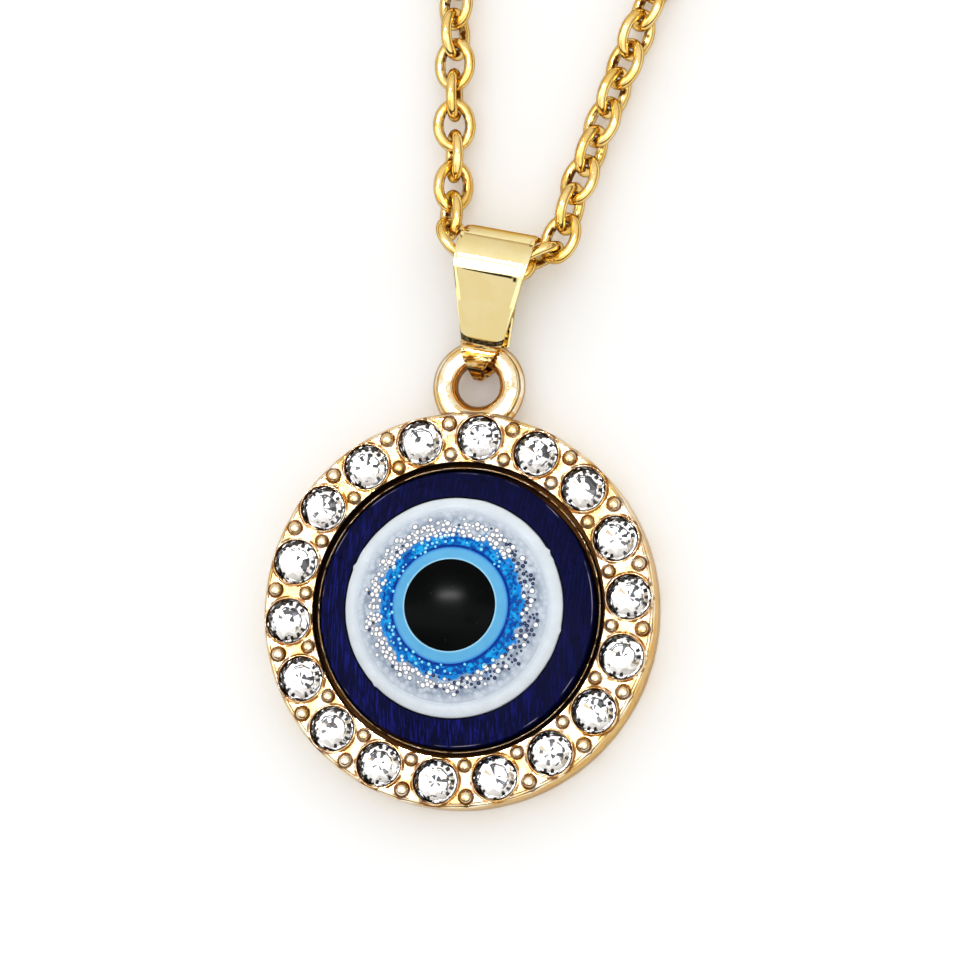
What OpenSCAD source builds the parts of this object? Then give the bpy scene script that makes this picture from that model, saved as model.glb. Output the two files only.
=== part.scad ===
// Evil eye pendant on a cable chain, in millimetres.
// The pendant lies on its flat back at z = 0 with its face up. The origin is the middle of that back,
// +Y runs from the eye to the eyelet, the bail and the chain, and +X is to the right.

/* [Eye] */
// Diameter of the black pupil
pupil_d = 5.08; // [4:0.02:7]
// Width of the light blue iris ring
iris_w = 0.71; // [0.4:0.01:1.4]
// Width of the bright blue glitter ring
halo_w = 0.6; // [0.3:0.05:1.4]
// Width of the grey glitter ring
field_w = 1.48; // [0.8:0.02:3]
// Width of the raised white ring
rim_w = 0.82; // [0.5:0.02:1.6]
// Width of the navy border outside the white ring
navy_w = 1.55; // [0.8:0.05:3]
// Rise of the resin dome above its own edge
dome_rise = 2.2; // [1:0.1:3.5]
// Height of the pupil above the dome
pupil_rise = 0.3; // [0.1:0.05:0.6]
// Height of the white ring above the dome
rim_rise = 0.14; // [0.05:0.01:0.3]
// Depth of the flat pocket that the inner rings are set in, below the white ring's foot
pocket_depth = 0.6; // [0.3:0.1:1]
// Height of the dome's edge above the lip of its cup
eye_stand = 0.05; // [0:0.01:0.3]
// How far the eye sits to the left in its cup
eye_left = 0.1; // [0:0.02:0.14]
// Joint between two coloured layers
layer_gap = 0.03; // [0.02:0.01:0.05]

/* [Setting] */
// Thickness of the setting from its back to the ring of stones
setting_h = 2.5; // [2:0.1:4]
// Bevel round the back
back_bevel = 0.35; // [0.1:0.05:0.6]
// Bevel round the front edge
edge_bevel = 0.22; // [0.1:0.02:0.4]
// Play round the eye in its cup
eye_play = 0.18; // [0.16:0.02:0.4]
// Wall of the cup round the eye
cup_wall = 0.1; // [0.1:0.01:0.4]
// Depth of the cup below its lip
cup_depth = 1.45; // [1.2:0.05:1.7]
// How far the cup's lip lies below the ring of stones
lip_drop = 0.25; // [0.1:0.05:0.5]
// Width of the dark groove round the cup
groove_w = 0.24; // [0.2:0.02:0.5]
// Depth of that groove below the ring of stones
groove_depth = 0.9; // [0.5:0.1:1.5]
// Metal left between the groove and the stones' collars
groove_edge = 0.04; // [0.02:0.01:0.4]
// Metal left outside the stones' collars
rim_edge = 0.06; // [0.02:0.02:0.6]

/* [Stones] */
// Number of stones
stones_n = 18; // [12:1:19]
// Diameter of a stone
stone_d = 2.4; // [2:0.05:2.6]
// Diameter of a stone's flat table
table_d = 1.3; // [0.8:0.05:1.5]
// Height of the crown above the girdle
crown_h = 0.42; // [0.3:0.02:0.6]
// Thickness of the girdle
girdle_h = 0.06; // [0.04:0.01:0.1]
// Depth of the pavilion below the girdle
pavilion_h = 0.9; // [0.7:0.05:1]
// Play between a stone and its seat
stone_play = 0.03; // [0.02:0.01:0.06]
// Angle that the ring of stones is turned to the right of the eyelet
stones_turn = 2.9; // [0:0.1:9]
// Wall of the collar round a stone
collar_wall = 0.11; // [0.08:0.01:0.2]
// Height of the collar above the face
collar_rise = 0.12; // [0.05:0.01:0.2]
// Diameter of the outer metal beads
outer_bead_d = 0.78; // [0.5:0.02:0.9]
// Diameter of the inner metal beads
inner_bead_d = 0.7; // [0.4:0.02:0.8]
// Distance from an outer bead to the setting's edge
outer_bead_edge = 0.2; // [0.1:0.02:0.4]
// Distance from an inner bead to the groove
inner_bead_edge = 0.1; // [0.04:0.02:0.3]

/* [Eyelet and bail] */
// Diameter of the eyelet's wire
eyelet_wire = 1.4; // [1:0.05:1.5]
// Diameter of the hole in the eyelet
eyelet_hole = 2.4; // [2.3:0.02:3.2]
// Metal between the eyelet's hole and the setting's edge
eyelet_web = 0.46; // [0.1:0.02:1]
// Width of the bail at its widest
bail_w = 4.3; // [4:0.1:5.2]
// Width of the bail's back, where it lies on the surface
bail_back_w = 1.8; // [1.6:0.1:4.4]
// Outer diameter of the round end that holds the chain
bail_d = 4.4; // [4.3:0.05:5.4]
// Distance between the middles of the bail's two round ends
bail_reach = 5; // [4.8:0.1:7]
// Thickness of the bail's sheet
bail_sheet = 0.32; // [0.25:0.01:0.4]
// Play of the bail's lower loop round the eyelet's wire
bail_play = 0.3; // [0.2:0.02:0.4]
// Angle that the bail leans to the right
bail_lean = 8; // [0:0.5:10]

/* [Chain] */
// Outer length of a link
link_len = 3.08; // [3.02:0.01:3.3]
// Outer width of a link
link_w = 2.4; // [2.3:0.02:2.5]
// Diameter of the wire
link_wire = 0.6; // [0.5:0.01:0.62]
// Slack between two links
link_slack = 0.12; // [0.1:0.01:0.14]
// Distance that the two strands leave for the clasp
clasp_room = 10.5; // [9:0.5:16]
// Diameter of the clasp's wire
clasp_wire = 0.8; // [0.7:0.02:0.84]
// Thickness of the clasp's closed side
clasp_back = 2.3; // [2.2:0.1:2.8]

/* [Hidden] */
$fn = 48;
air = 0.02;
// How far a cut runs past what it cuts.
past = 1;

pupil_r = pupil_d / 2;
iris_r = pupil_r + iris_w;
halo_r = iris_r + halo_w;
field_r = halo_r + field_w;
white_r = field_r + rim_w;
eye_r = white_r + navy_w;
dome_r = (eye_r * eye_r + dome_rise * dome_rise) / (2 * dome_rise);

cup_r = eye_r + eye_play;
lip_r = cup_r + cup_wall;
face_in_r = lip_r + groove_w;
seat_r = stone_d / 2 + stone_play;
collar_r = seat_r + collar_wall;
stone_ring_r = face_in_r + groove_edge + collar_r;
setting_r = stone_ring_r + collar_r + rim_edge;
lip_z = setting_h - lip_drop;
cup_floor = lip_z - cup_depth;
eye_edge_z = lip_z + eye_stand;
apex_z = eye_edge_z + dome_rise;
eye_x = -eye_left;
function dome_z(r) = apex_z - dome_r + sqrt(dome_r * dome_r - r * r);
pocket_z = dome_z(white_r) - pocket_depth;

stone_turn = 360 / stones_n;
stone_corners = 8;
seat_room = 0.2;
seat_depth = pavilion_h + seat_room;
culet_r = 0.05;
bezel_r = (table_d + stone_d) / 4;
bezel_share = 0.62;
plate = 0.01;
collar_foot = 0.3;
bead_sink = 0.06;
// Radius of the white ring's round back, as a share of the ring's width.
rim_round = 0.62;

eyelet_r = (eyelet_hole + eyelet_wire) / 2;
eyelet_y = setting_r + eyelet_web + eyelet_hole / 2;
hook_in_r = eyelet_wire / 2 + bail_play;
hook_r = hook_in_r + bail_sheet;
hook_z = hook_r + air;
hook_gap = 0.09;
hook_turn = 38;
// Share of the hook's radius that the straight leaves aim at, and where they leave the round end.
leaf_aim = 0.82;
leaf_bite = 7;
leaf_pinch = 0.2;
wire_y = eyelet_y + eyelet_r;
hook_y = wire_y - (hook_in_r - eyelet_wire / 2 - hook_gap);
bail_r = bail_d / 2;
bail_z = bail_r + air;
bail_top = bail_reach + bail_r;

// Half outline of the bail. Its columns are the share of the way up from the tip and the share of the
// half width.
bail_outline = [
    [-0.02, 0.09], [0, 0.11], [0.06, 0.26], [0.12, 0.4], [0.23, 0.53],
    [0.45, 0.75], [0.67, 0.95], [0.79, 1], [0.89, 1], [1.01, 0.95]
];

link_r = (link_w - link_wire) / 2;
link_straight = link_len - link_w;
link_reach = (link_len - link_wire) / 2;
link_hold = link_wire + link_slack;
floor_z = 0.96;

// Route of the chain, from the clasp down the left strand, through the bail and up the right strand.
route = [
    [3, 184.5, 1.19], [-2, 184.3, 1.19], [-8, 183.2, 1.19], [-16, 179.8, floor_z], [-30, 168, floor_z],
    [-37.5, 149, floor_z], [-35, 125, floor_z], [-25, 99, floor_z], [-14, 74, floor_z],
    [-6.6, 53, floor_z], [-3.6, 40, 1.05], [-3.03, 33.3, 1.2], [-2.75, 29, 1.21],
    [-2.42, 24.8, 1.2], [-2.38, 22.6, 1.41], [-1.86, 20.96, 1.99], [-0.42, 19.93, 1.82],
    [1.27, 19.53, 1.87], [3.14, 20.32, 1.49], [3.94, 21.11, 1.48], [4.58, 23.76, 1.41],
    [5.35, 26.5, 1.2], [6.4, 29.9, 1.2], [7.45, 33.3, 1.2], [9.7, 40, 1.05],
    [14.4, 53, floor_z], [22.5, 74, floor_z], [33, 99, floor_z], [42, 125, floor_z],
    [44, 149, floor_z], [36.5, 168, floor_z], [22, 179.8, floor_z], [14, 183.2, 1.19],
    [8, 184.3, 1.19], [3, 184.5, 1.19]
];
// Place in the route, counted in its points, of the link in the middle of the bail.
route_middle = 17;
route_cuts = 14;

// Angles that the links are rolled to, walking away from the bail; a plus sign lifts the left side.
middle_roll = 21;
rolls_left = [-45, 54, -55, 36, -66, 12, 90, -11, 66, -33];
rolls_right = [84, -21, 70, -26, 65, -30, 61, -30, 52, -42];
rolls_clasp = [78, -12, 66, -30];
rest_roll = 45;

function blend(a, b, c, d, t) = 0.5 * (2 * b + (c - a) * t
    + (2 * a - 5 * b + 4 * c - d) * t * t + (3 * b - a - 3 * c + d) * t * t * t);
last = len(route) - 1;
function route_at(u) = let (i = min(floor(u), last - 1))
    blend(route[i == 0 ? last - 1 : i - 1], route[i], route[i + 1], route[i + 2 > last ? 1 : i + 2], u - i);
path = [for (k = [0 : last * route_cuts]) route_at(k / route_cuts)];
walked = [for (k = 0, s = 0; k < len(path);
    s = s + (k + 1 < len(path) ? norm(path[k + 1] - path[k]) : 0), k = k + 1) s];
table = [for (axis = [0 : 2]) [for (k = [0 : len(path) - 1]) [walked[k], path[k][axis]]]];
route_len = walked[len(path) - 1];
middle_s = walked[route_middle * route_cuts];
function point(s) = [for (axis = [0 : 2]) lookup(s, table[axis])];
function way(s) = let (feel = link_wire / 2, v = point(s + feel) - point(s - feel)) v / norm(v);

// Bend between the ways at two places, and the chord that two hooked links keep across that bend.
function bend(s, t) = acos(min(1, way(s) * way(t)));
pitch = 2 * link_reach - link_hold;
function chord(s, t) = 2 * link_reach * cos(bend(s, t) / 2) - link_hold;
function next(s, side) =
    let (t = s + side * pitch, near = s + side * chord(s, t))
    s + side * chord(s, near) * abs(near - s) / norm(point(near) - point(s));
side_room = [middle_s - clasp_room / 2, route_len - middle_s - clasp_room / 2];
function places(side) = let (room = side < 0 ? side_room[0] : side_room[1])
    [for (s = next(middle_s, side); abs(s - middle_s) < room; s = next(s, side)) s];
left_at = places(-1);
right_at = places(1);

function roll_of(k, n, rolls) =
    k < len(rolls) ? rolls[k]
    : n - 1 - k < len(rolls_clasp) ? rolls_clasp[n - 1 - k] * (n % 2 == 0 ? -1 : 1)
    : rest_roll * (k % 2 == 0 ? 1 : -1);

// The clasp hangs between the last links: its end wires lie inside them.
left_end = point(left_at[len(left_at) - 1]);
right_end = point(right_at[len(right_at) - 1]);
clasp_slack = 0.2;
clasp_hook = link_reach - (link_wire + clasp_wire) / 2 - clasp_slack;
clasp_span = norm([right_end[0] - left_end[0], right_end[1] - left_end[1]]) - 2 * clasp_hook;
clasp_z = clasp_back / 2 + air;
clasp_eye_r = 1;
clasp_body_r = 1.45;
clasp_back_share = 0.8;

function stone_name(i) = str("stone_", i < 10 ? "0" : "", i);

module round_stone_places(r, first = 0) {
    for (i = [0 : stones_n - 1])
        rotate([0, 0, 90 - stones_turn + first - i * stone_turn])
            translate([r, 0, 0])
                children();
}

// One casting: the dish with its cup and groove, the eyelet, the collars and the beads between stones.
module setting() {
    color("#e6c98a")
        difference() {
            union() {
                dish();
                eyelet();
                round_stone_places(stone_ring_r)
                    translate([0, 0, setting_h - collar_foot])
                        cylinder(r = collar_r, h = collar_foot + collar_rise);
                bead_row(setting_r - outer_bead_edge - outer_bead_d / 2, outer_bead_d);
                bead_row(face_in_r + inner_bead_edge + inner_bead_d / 2, inner_bead_d);
            }
            round_stone_places(stone_ring_r)
                translate([0, 0, setting_h - seat_depth])
                    cylinder(r = seat_r, h = seat_depth + collar_rise + past);
        }
}

module dish() {
    rotate_extrude()
        polygon([
            [0, 0], [setting_r - back_bevel, 0], [setting_r, back_bevel],
            [setting_r, setting_h - edge_bevel], [setting_r - edge_bevel, setting_h],
            [face_in_r, setting_h], [face_in_r, setting_h - groove_depth],
            [lip_r, setting_h - groove_depth], [lip_r, lip_z], [cup_r, lip_z],
            [cup_r, cup_floor], [0, cup_floor]
        ]);
}

module eyelet() {
    translate([0, eyelet_y, hook_z])
        rotate_extrude()
            translate([eyelet_r, 0])
                circle(d = eyelet_wire);
}

module bead_row(r, d) {
    round_stone_places(r, stone_turn / 2)
        translate([0, 0, setting_h - bead_sink])
            sphere(d = d);
}

// A stone: octagonal table, a turned row of bezel corners, a round girdle and a pointed pavilion.
module stone(i) {
    color("#e8edf2")
        rotate([0, 0, 90 - stones_turn - (i - 1) * stone_turn])
            translate([stone_ring_r, 0, setting_h])
                hull() {
                    translate([0, 0, girdle_h + crown_h - plate])
                        cylinder(d = table_d, h = plate, $fn = stone_corners);
                    translate([0, 0, girdle_h + crown_h * bezel_share - plate])
                        rotate([0, 0, 180 / stone_corners])
                            cylinder(r = bezel_r, h = plate, $fn = stone_corners);
                    cylinder(d = stone_d, h = girdle_h, $fn = 2 * stone_corners);
                    translate([0, 0, -pavilion_h])
                        cylinder(r = culet_r, h = plate, $fn = stone_corners);
                }
}

// The resin dome, cut to the part between two radii and above a floor.
module dome_ring(r_in, r_out, z_floor) {
    translate([eye_x, 0, 0])
        intersection() {
            translate([0, 0, apex_z - dome_r])
                sphere(r = dome_r, $fn = 180);
            difference() {
                translate([0, 0, z_floor])
                    cylinder(r = r_out, h = apex_z);
                if (r_in > 0)
                    translate([0, 0, z_floor - past])
                        cylinder(r = r_in, h = apex_z + 2 * past);
            }
        }
}

module eye_base() {
    color("#1c1a66")
        difference() {
            dome_ring(0, eye_r, cup_floor + layer_gap);
            translate([eye_x, 0, pocket_z])
                cylinder(r = white_r, h = apex_z);
        }
}

module eye_white() {
    ring_in = field_r + layer_gap;
    ring_out = white_r - layer_gap;
    ring_w = ring_out - ring_in;
    crest_z = dome_z((ring_in + ring_out) / 2) + rim_rise;
    round_r = ring_w * rim_round;
    color("#eceef4")
        translate([eye_x, 0, 0])
            rotate_extrude()
                intersection() {
                    translate([ring_in, pocket_z + layer_gap])
                        square([ring_w, apex_z]);
                    union() {
                        translate([(ring_in + ring_out) / 2, crest_z - round_r])
                            circle(r = round_r);
                        translate([ring_in - past, pocket_z])
                            square([ring_w + 2 * past, crest_z - round_r - pocket_z]);
                    }
                }
}

module eye_glitter() {
    color("#c9cbdc")
        dome_ring(halo_r + layer_gap / 2, field_r - layer_gap / 2, pocket_z + layer_gap);
}

module eye_halo() {
    color("#1d8fe0")
        dome_ring(iris_r + layer_gap / 2, halo_r - layer_gap / 2, pocket_z + layer_gap);
}

module eye_iris() {
    color("#62b2e6")
        dome_ring(pupil_r + layer_gap / 2, iris_r - layer_gap / 2, pocket_z + layer_gap);
}

module eye_pupil() {
    foot = pupil_r - layer_gap / 2;
    rise = apex_z + pupil_rise - dome_z(foot);
    ball_r = (foot * foot + rise * rise) / (2 * rise);
    color("#101014")
        translate([eye_x, 0, 0])
            intersection() {
                translate([0, 0, apex_z + pupil_rise - ball_r])
                    sphere(r = ball_r, $fn = 96);
                translate([0, 0, pocket_z + layer_gap])
                    cylinder(r = foot, h = apex_z);
            }
}

// Side view of the bail's metal: a round end for the chain, a small round hook, and two straight leaves.
// Its x runs up the bail from the hook's middle and its y is the height above that middle.
module bail_side() {
    rise = bail_z - hook_z;
    up = [sqrt(bail_reach * bail_reach - rise * rise), rise];
    swing = asin((bail_r - hook_r * leaf_aim) / bail_reach);
    slope = atan2(up[1], up[0]);
    function on_end(side, r) =
        let (a = slope + side * (90 + swing - leaf_bite)) up + r * [cos(a), sin(a)];
    function on_hook(side, r) = let (a = slope + side * hook_turn) r * [cos(a), sin(a)];
    difference() {
        union() {
            translate(up)
                circle(r = bail_r, $fn = 96);
            circle(r = hook_r, $fn = 72);
            polygon([
                on_end(1, bail_r), on_hook(1, hook_r), on_hook(-1, hook_r), on_end(-1, bail_r)
            ]);
        }
        translate(up)
            circle(r = bail_r - bail_sheet, $fn = 96);
        circle(r = hook_in_r, $fn = 72);
        polygon([
            on_end(1, bail_r - bail_sheet), on_hook(1, hook_r + leaf_pinch) - [0, bail_sheet],
            on_hook(-1, hook_r + leaf_pinch) + [0, bail_sheet], on_end(-1, bail_r - bail_sheet)
        ]);
    }
}

module bail_front() {
    reach = bail_top + hook_r;
    right = [for (p = bail_outline) [p[1] * bail_w / 2, p[0] * reach - hook_r]];
    left = [for (i = [len(right) - 1 : -1 : 0]) [-right[i][0], right[i][1]]];
    polygon(concat(right, left));
}

// The back leaf is narrower than the front one.
module bail_back_taper() {
    half = bail_w / 2 + past / 10;
    translate([0, bail_top, 0])
        rotate([90, 0, 0])
            linear_extrude(bail_top + 2 * hook_r)
                polygon([
                    [-bail_back_w / 2, 0], [bail_back_w / 2, 0], [half, bail_z],
                    [half, bail_d + past], [-half, bail_d + past], [-half, bail_z]
                ]);
}

module bail() {
    color("#ecd8a0")
        translate([0, hook_y, 0])
            rotate([0, 0, -bail_lean])
                intersection() {
                    translate([-bail_w, 0, hook_z])
                        rotate([90, 0, 90])
                            linear_extrude(2 * bail_w)
                                bail_side();
                    translate([0, 0, -past])
                        linear_extrude(bail_d + 2 * past)
                            bail_front();
                    bail_back_taper();
                }
}

// A link lies flat with its length along X.
module link() {
    for (side = [-1, 1]) {
        translate([side * link_straight / 2, 0, 0])
            rotate([0, 0, -90 * side])
                rotate_extrude(angle = 180)
                    translate([link_r, 0])
                        circle(d = link_wire, $fn = 24);
        translate([0, side * link_r, 0])
            rotate([0, 90, 0])
                cylinder(d = link_wire, h = link_straight, center = true, $fn = 24);
    }
}

module link_on_route(s, side, roll) {
    t = side * way(s);
    translate(point(s))
        rotate([roll, -asin(t[2]), atan2(t[1], t[0])])
            link();
}

module chain_left() {
    n = len(left_at);
    color("#dcae4c") {
        link_on_route(middle_s, -1, middle_roll);
        for (k = [0 : n - 1])
            link_on_route(left_at[k], -1, roll_of(k, n, rolls_left));
    }
}

module chain_right() {
    n = len(right_at);
    color("#dcae4c")
        for (k = [0 : n - 1])
            link_on_route(right_at[k], 1, roll_of(k, n, rolls_right));
}

// A plain closed clasp: a small eye, and a long ring with one thick side.
module clasp() {
    merge = clasp_wire * 0.4;
    straight = floor(100 * (clasp_span - 2 * clasp_eye_r + merge - 2 * clasp_body_r)) / 100;
    away = right_end - left_end;
    start = [left_end[0], left_end[1], clasp_z];
    color("#dcae4c")
        translate(start)
            rotate([0, 0, atan2(away[1], away[0])])
                translate([clasp_hook, 0, 0]) {
                    translate([clasp_eye_r, 0, 0])
                        rotate_extrude()
                            translate([clasp_eye_r, 0])
                                circle(d = clasp_wire, $fn = 32);
                    translate([clasp_span - clasp_body_r - straight / 2, 0, 0])
                        clasp_ring(straight);
                }
}

module clasp_ring(straight) {
    for (side = [-1, 1]) {
        translate([side * straight / 2, 0, 0])
            rotate([0, 0, -90 * side])
                rotate_extrude(angle = 180)
                    translate([clasp_body_r, 0])
                        circle(d = clasp_wire, $fn = 32);
        translate([0, side * clasp_body_r, 0])
            rotate([0, 90, 0])
                cylinder(d = clasp_wire, h = straight, center = true, $fn = 32);
    }
    translate([0, clasp_body_r + clasp_wire / 4, 0])
        rotate([0, 90, 0])
            cylinder(d = clasp_back, h = straight * clasp_back_share, center = true, $fn = 32);
}

setting();
eye_base();
eye_white();
eye_glitter();
eye_halo();
eye_iris();
eye_pupil();
for (i = [1 : stones_n])
    stone(i);
bail();
chain_left();
chain_right();
clasp();
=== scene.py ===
import math
import random

import bmesh
import bpy
from mathutils import Matrix, Vector, noise


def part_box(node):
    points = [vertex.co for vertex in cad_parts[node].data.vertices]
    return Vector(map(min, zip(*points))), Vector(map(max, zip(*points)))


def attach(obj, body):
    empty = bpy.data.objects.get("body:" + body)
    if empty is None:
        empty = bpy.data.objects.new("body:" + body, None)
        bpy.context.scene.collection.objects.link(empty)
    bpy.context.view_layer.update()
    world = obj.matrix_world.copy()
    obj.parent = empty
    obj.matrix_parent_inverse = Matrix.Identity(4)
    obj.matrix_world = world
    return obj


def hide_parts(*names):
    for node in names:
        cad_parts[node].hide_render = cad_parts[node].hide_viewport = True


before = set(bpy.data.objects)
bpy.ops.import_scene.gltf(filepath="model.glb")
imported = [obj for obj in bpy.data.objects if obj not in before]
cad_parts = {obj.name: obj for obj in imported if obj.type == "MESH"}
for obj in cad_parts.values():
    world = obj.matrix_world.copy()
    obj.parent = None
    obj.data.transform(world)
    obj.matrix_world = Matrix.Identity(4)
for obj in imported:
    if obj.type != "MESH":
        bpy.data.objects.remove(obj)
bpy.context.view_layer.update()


# Sizes, in millimetres unless they say otherwise. The rest comes from the frame's own boxes.
MM = 0.001
WELD = 0.0002

camera_aim = (0.681, 7.262, 2.45)
camera_from = (0.2006, -0.1379, 0.9699)
camera_distance = 266
camera_roll = 4.46
camera_lens = 180
camera_sensor = 36
floor_w = 6000

layer_gap = 0.03
dome_rise = 2.2
rim_rise = 0.14
pupil_rise = 0.3

setting_h = 2.5
back_bevel = 0.35
edge_bevel = 0.22
cup_wall = 0.1
cup_depth = 1.45
lip_drop = 0.25
eye_play = 0.18
groove_w = 0.24
groove_depth = 0.9

stones_n = 18
stones_turn = 2.9
stone_d = 2.4
table_d = 1.3
crown_h = 0.42
girdle_h = 0.06
pavilion_h = 0.9
seat_play = 0.03
collar_wall = 0.11
collar_rise = 0.12
groove_edge = 0.04
seat_depth = 1.1
bead_sink = 0.06
outer_bead_d = 0.78
outer_bead_edge = 0.2
inner_bead_d = 0.7
inner_bead_edge = 0.1

eyelet_wire = 1.4
eyelet_hole = 2.4
eyelet_z = 1.34

bail_w = 4.3
bail_back_w = 1.8
bail_d = 4.4
bail_reach = 5
bail_sheet = 0.32
bail_lean = 8
hook_in_r = 1
hook_turn = 38
leaf_aim = 0.82
leaf_bite = 7

link_len = 3.08
link_w = 2.4
link_wire = 0.6
link_slack = 0.12
clasp_room = 10.5


# Node trees: a wrapped socket that takes arithmetic, and one method that adds any node.
class Wire:
    """A socket of a tree. Arithmetic on it adds Math nodes."""

    def __init__(self, tree, socket):
        self.tree = tree
        self.socket = socket

    def math(self, operation, *others):
        """A Math node whose first value is this one."""
        return self.tree.math(operation, self, *others)

    def most(self, *others):
        """The greatest of this value and the others."""
        top = self
        for other in others:
            top = top.math("MAXIMUM", other)
        return top

    def __add__(self, other):
        return self.math("ADD", other)

    def __sub__(self, other):
        return self.math("SUBTRACT", other)

    def __rsub__(self, other):
        return self.tree.math("SUBTRACT", other, self)

    def __mul__(self, other):
        return self.math("MULTIPLY", other)

    def __truediv__(self, other):
        return self.math("DIVIDE", other)

    def __pow__(self, other):
        return self.math("POWER", other)

    __radd__ = __add__
    __rmul__ = __mul__


class Tree:
    """A node tree that is being written."""

    def __init__(self, nodes, links):
        self.nodes = nodes
        self.links = links

    def node(self, kind, settings=None, sockets=None, out=0):
        made = self.nodes.new(kind)
        for name, value in (settings or {}).items():
            if name == "stops":
                fill_ramp(made.color_ramp, value)
            else:
                setattr(made, name, value)
        for key, value in (sockets or {}).items():
            self.plug(made.inputs[key], value)
        return Wire(self, made.outputs[out])

    def plug(self, socket, value):
        if isinstance(value, Wire):
            self.links.new(value.socket, socket)
        else:
            socket.default_value = value

    def math(self, operation, *values):
        return self.node("ShaderNodeMath", {"operation": operation}, dict(enumerate(values)))

    def vector(self, operation, *values, out=0):
        return self.node("ShaderNodeVectorMath", {"operation": operation}, dict(enumerate(values)), out)

    def mix(self, share, low, high):
        """A colour between low and high."""
        return self.node("ShaderNodeMix", {"data_type": "RGBA"}, {0: share, 6: low, 7: high}, 2)

    def step(self, value, low, high):
        """0 below low and 1 above high, with a soft change between them."""
        settings = {"interpolation_type": "SMOOTHSTEP"}
        return self.node("ShaderNodeMapRange", settings, {0: value, 1: low, 2: high})

    def band(self, value, low, high, soft):
        """1 between low and high, falling to 0 over soft on either side."""
        return self.step(value, low - soft, low) * self.step(value, high + soft, high)

    def line(self, value, at, half):
        """1 on a thin line where value passes at. Its half width may be a socket."""
        return self.step((value - at).math("ABSOLUTE"), half * 1.5, half * 0.5)

    def parts(self, vector):
        split = self.node("ShaderNodeSeparateXYZ", None, {0: vector}).socket.node
        return [Wire(self, output) for output in split.outputs]


def length_of(x, y):
    return (x * x + y * y) ** 0.5


def fill_ramp(ramp, stops):
    while len(ramp.elements) < len(stops):
        ramp.elements.new(0.5)
    for element, (place, colour) in zip(ramp.elements, stops):
        element.position = place
        element.color = colour


def tint(red, green, blue):
    """A colour from the 0 to 255 steps of a screen, as the shaders take it."""
    shares = [step / 255 for step in (red, green, blue)]
    return (*[s / 12.92 if s <= 0.04045 else ((s + 0.055) / 1.055) ** 2.4 for s in shares], 1)


class Finish(Tree):
    """A material that is being written. Its patterns are measured in millimetres."""

    def __init__(self, name, **fixed):
        self.material = bpy.data.materials.new(name)
        self.material.use_nodes = True
        super().__init__(self.material.node_tree.nodes, self.material.node_tree.links)
        self.shader = self.nodes["Principled BSDF"]
        self.wear(**fixed)

    def wear(self, **values):
        """Sets or links sockets of the shader, named with _ for a space."""
        for name, value in values.items():
            self.plug(self.shader.inputs[name.replace("_", " ")], value)

    def place(self):
        """Where a point of the piece is, in millimetres."""
        spot = self.node("ShaderNodeTexCoord", None, None, "Object")
        return self.vector("MULTIPLY", spot, (1 / MM,) * 3)

    def speckle(self, scale, vector, detail=2, **sockets):
        sockets = {"Scale": scale, "Detail": detail, "Vector": vector, **sockets}
        return self.node("ShaderNodeTexNoise", None, sockets)

    def attribute(self, name):
        return self.node("ShaderNodeAttribute", {"attribute_name": name}, None, "Fac")

    def mapping(self, vector, **changes):
        return self.node("ShaderNodeMapping", None, {"Vector": vector, **changes})

    def cells(self, scale, vector):
        """Distance from the nearest of many scattered points."""
        return self.node("ShaderNodeTexVoronoi", None, {"Vector": vector, "Scale": scale})

    def bump(self, height, depth):
        """A relief of that depth, in millimetres."""
        self.wear(Normal=self.node("ShaderNodeBump", None, {"Height": height, "Distance": depth * MM}))

    def from_eye(self):
        """Distance from the eye's middle, in millimetres, and the place."""
        moved = self.vector("ADD", self.place(), (-eye_x, 0, 0))
        x, y = self.parts(moved)[:2]
        return length_of(x, y), moved


# What the frame says of the nodes, in millimetres.
def node_box(node):
    low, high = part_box(node)
    return low / MM, high / MM


def radius_of(node):
    low, high = node_box(node)
    return (high.x - low.x) / 2


eye_low, eye_high = node_box("eye_base")
eye_x = (eye_low.x + eye_high.x) / 2
eye_r = radius_of("eye_base")
white_out = radius_of("eye_white")
field_out = radius_of("eye_glitter")
halo_out = radius_of("eye_halo")
iris_out = radius_of("eye_iris")
pupil_out = radius_of("eye_pupil")
dome_r = (eye_r * eye_r + dome_rise * dome_rise) / (2 * dome_rise)
iris_in = pupil_out + layer_gap
apex_z = node_box("eye_iris")[1].z + dome_r - math.sqrt(dome_r * dome_r - iris_in * iris_in)
pocket_z = node_box("eye_white")[0].z

setting_high = node_box("setting")[1]
setting_r = setting_high.x
seat_r = stone_d / 2 + seat_play
collar_r = seat_r + collar_wall
cup_r = eye_r + eye_play
lip_r = cup_r + cup_wall
face_in_r = lip_r + groove_w
lip_z = setting_h - lip_drop
cup_floor = lip_z - cup_depth
stone_ring_r = face_in_r + groove_edge + collar_r
outer_bead_ring = setting_r - outer_bead_edge - outer_bead_d / 2
inner_bead_ring = face_in_r + inner_bead_edge + inner_bead_d / 2
eyelet_r = (eyelet_hole + eyelet_wire) / 2
eyelet_y = setting_high.y - eyelet_r - eyelet_wire / 2


def dome_z(r):
    return apex_z - dome_r + math.sqrt(dome_r * dome_r - r * r)


# Mesh tools.
def placed(name, data):
    """An object for a mesh or a camera, in the scene."""
    thing = bpy.data.objects.new(name, data)
    bpy.context.scene.collection.objects.link(thing)
    return thing


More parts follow.
